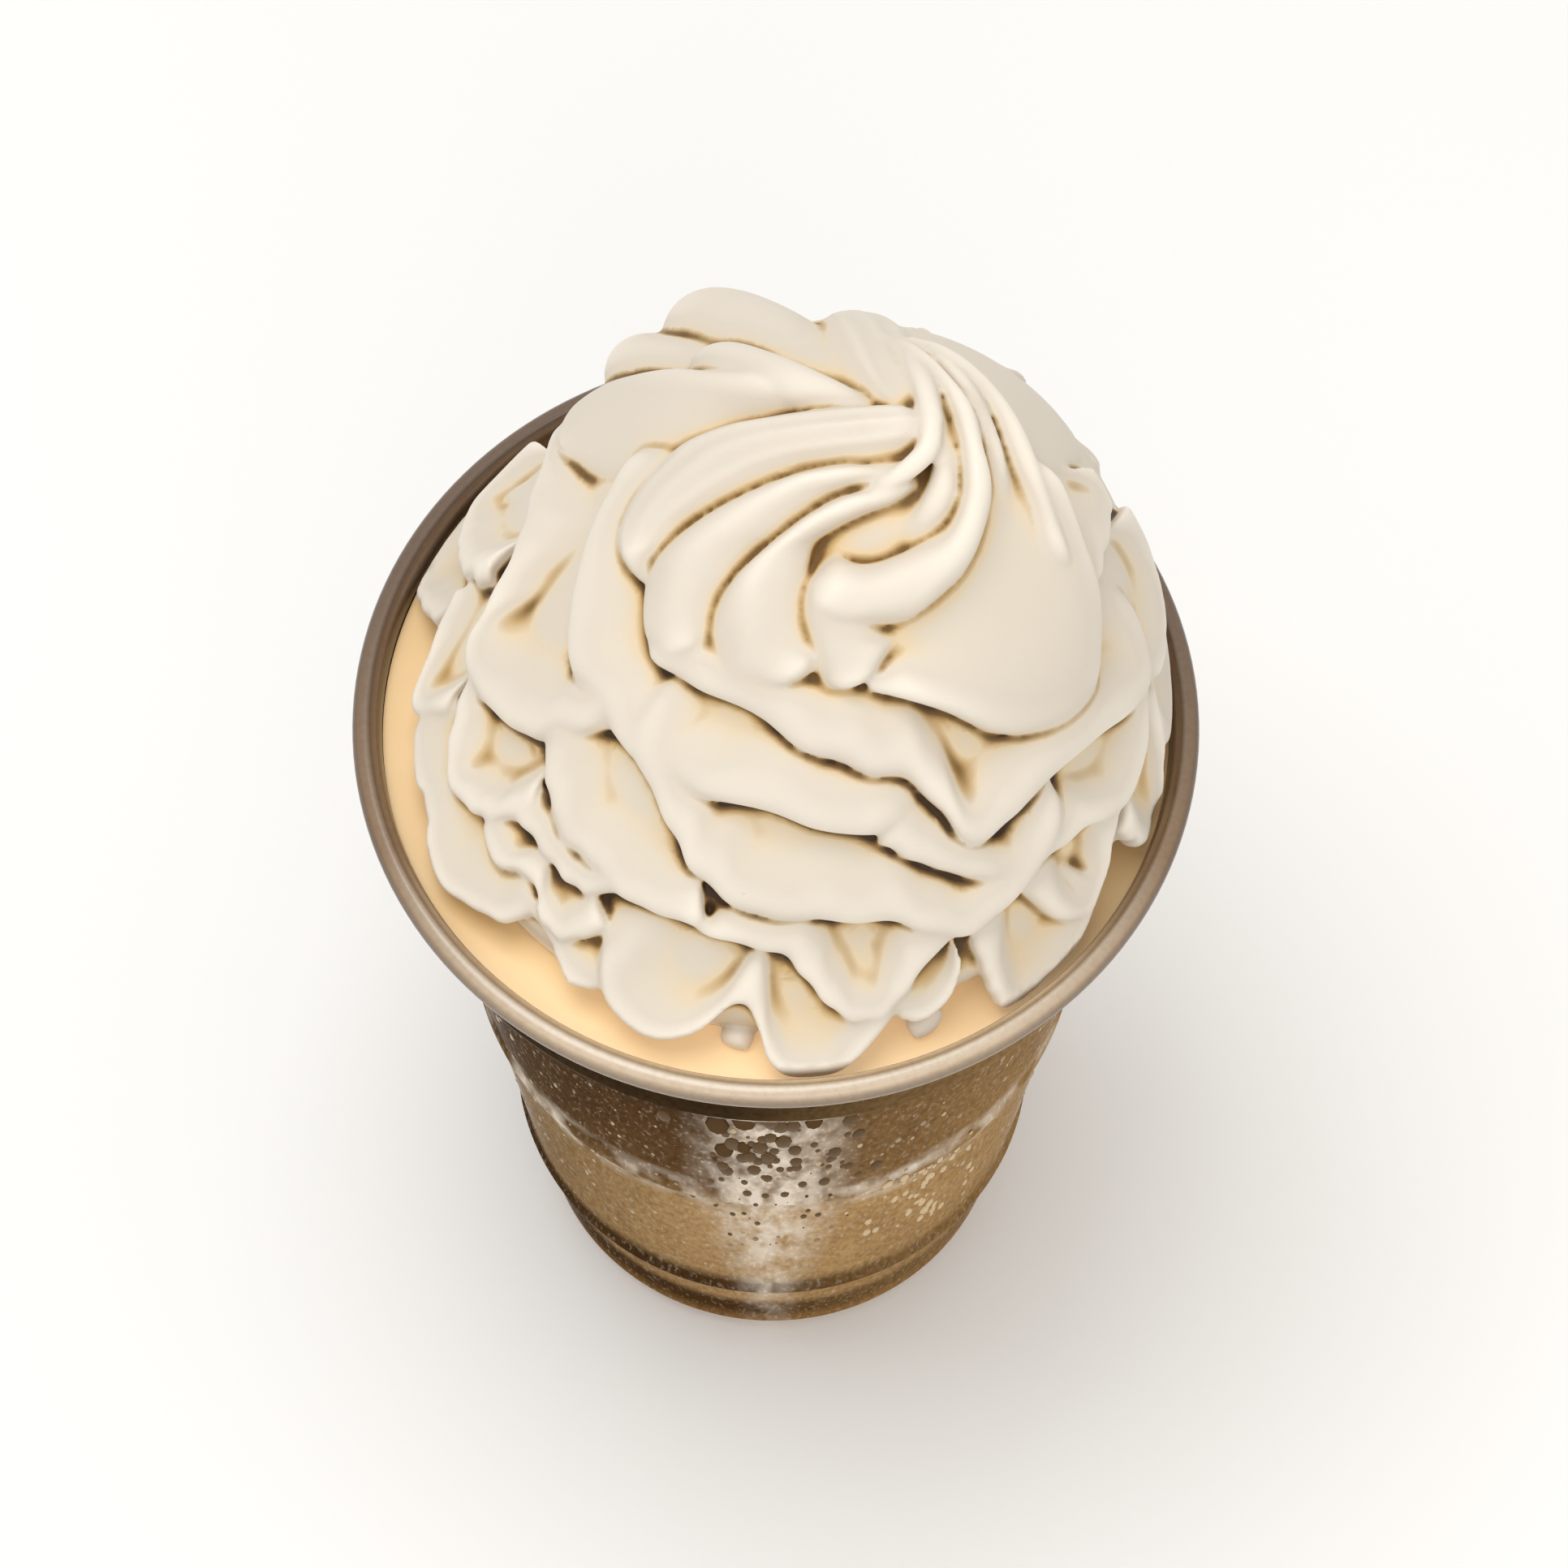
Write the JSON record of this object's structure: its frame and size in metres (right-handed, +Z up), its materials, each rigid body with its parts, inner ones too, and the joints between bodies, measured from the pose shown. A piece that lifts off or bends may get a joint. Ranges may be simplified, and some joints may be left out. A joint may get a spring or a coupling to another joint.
{
  "type": "milkshake in a clear plastic cup",
  "caption": "Milkshake in a clear tapered plastic cold-drink cup with a rolled rim, under a tall leaning swirl of layered whipped cream.",
  "frame": {"origin": "centre of the cup's foot, on the surface that it stands on", "axes": "+Z up through the cream, -Y towards the front as pictured, +X to the right of the front"},
  "size_m": [0.098, 0.098, 0.1746],
  "materials": {
    "clear_plastic": "clear, thin-walled, moulded, with cold droplets outside",
    "milkshake": "smooth and wet",
    "cream": "soft, satin, slightly translucent"
  },
  "bodies": {
    "root": {"cup": "clear_plastic", "milkshake": "milkshake", "whipped_cream": "cream"}
  },
  "joints": []
}
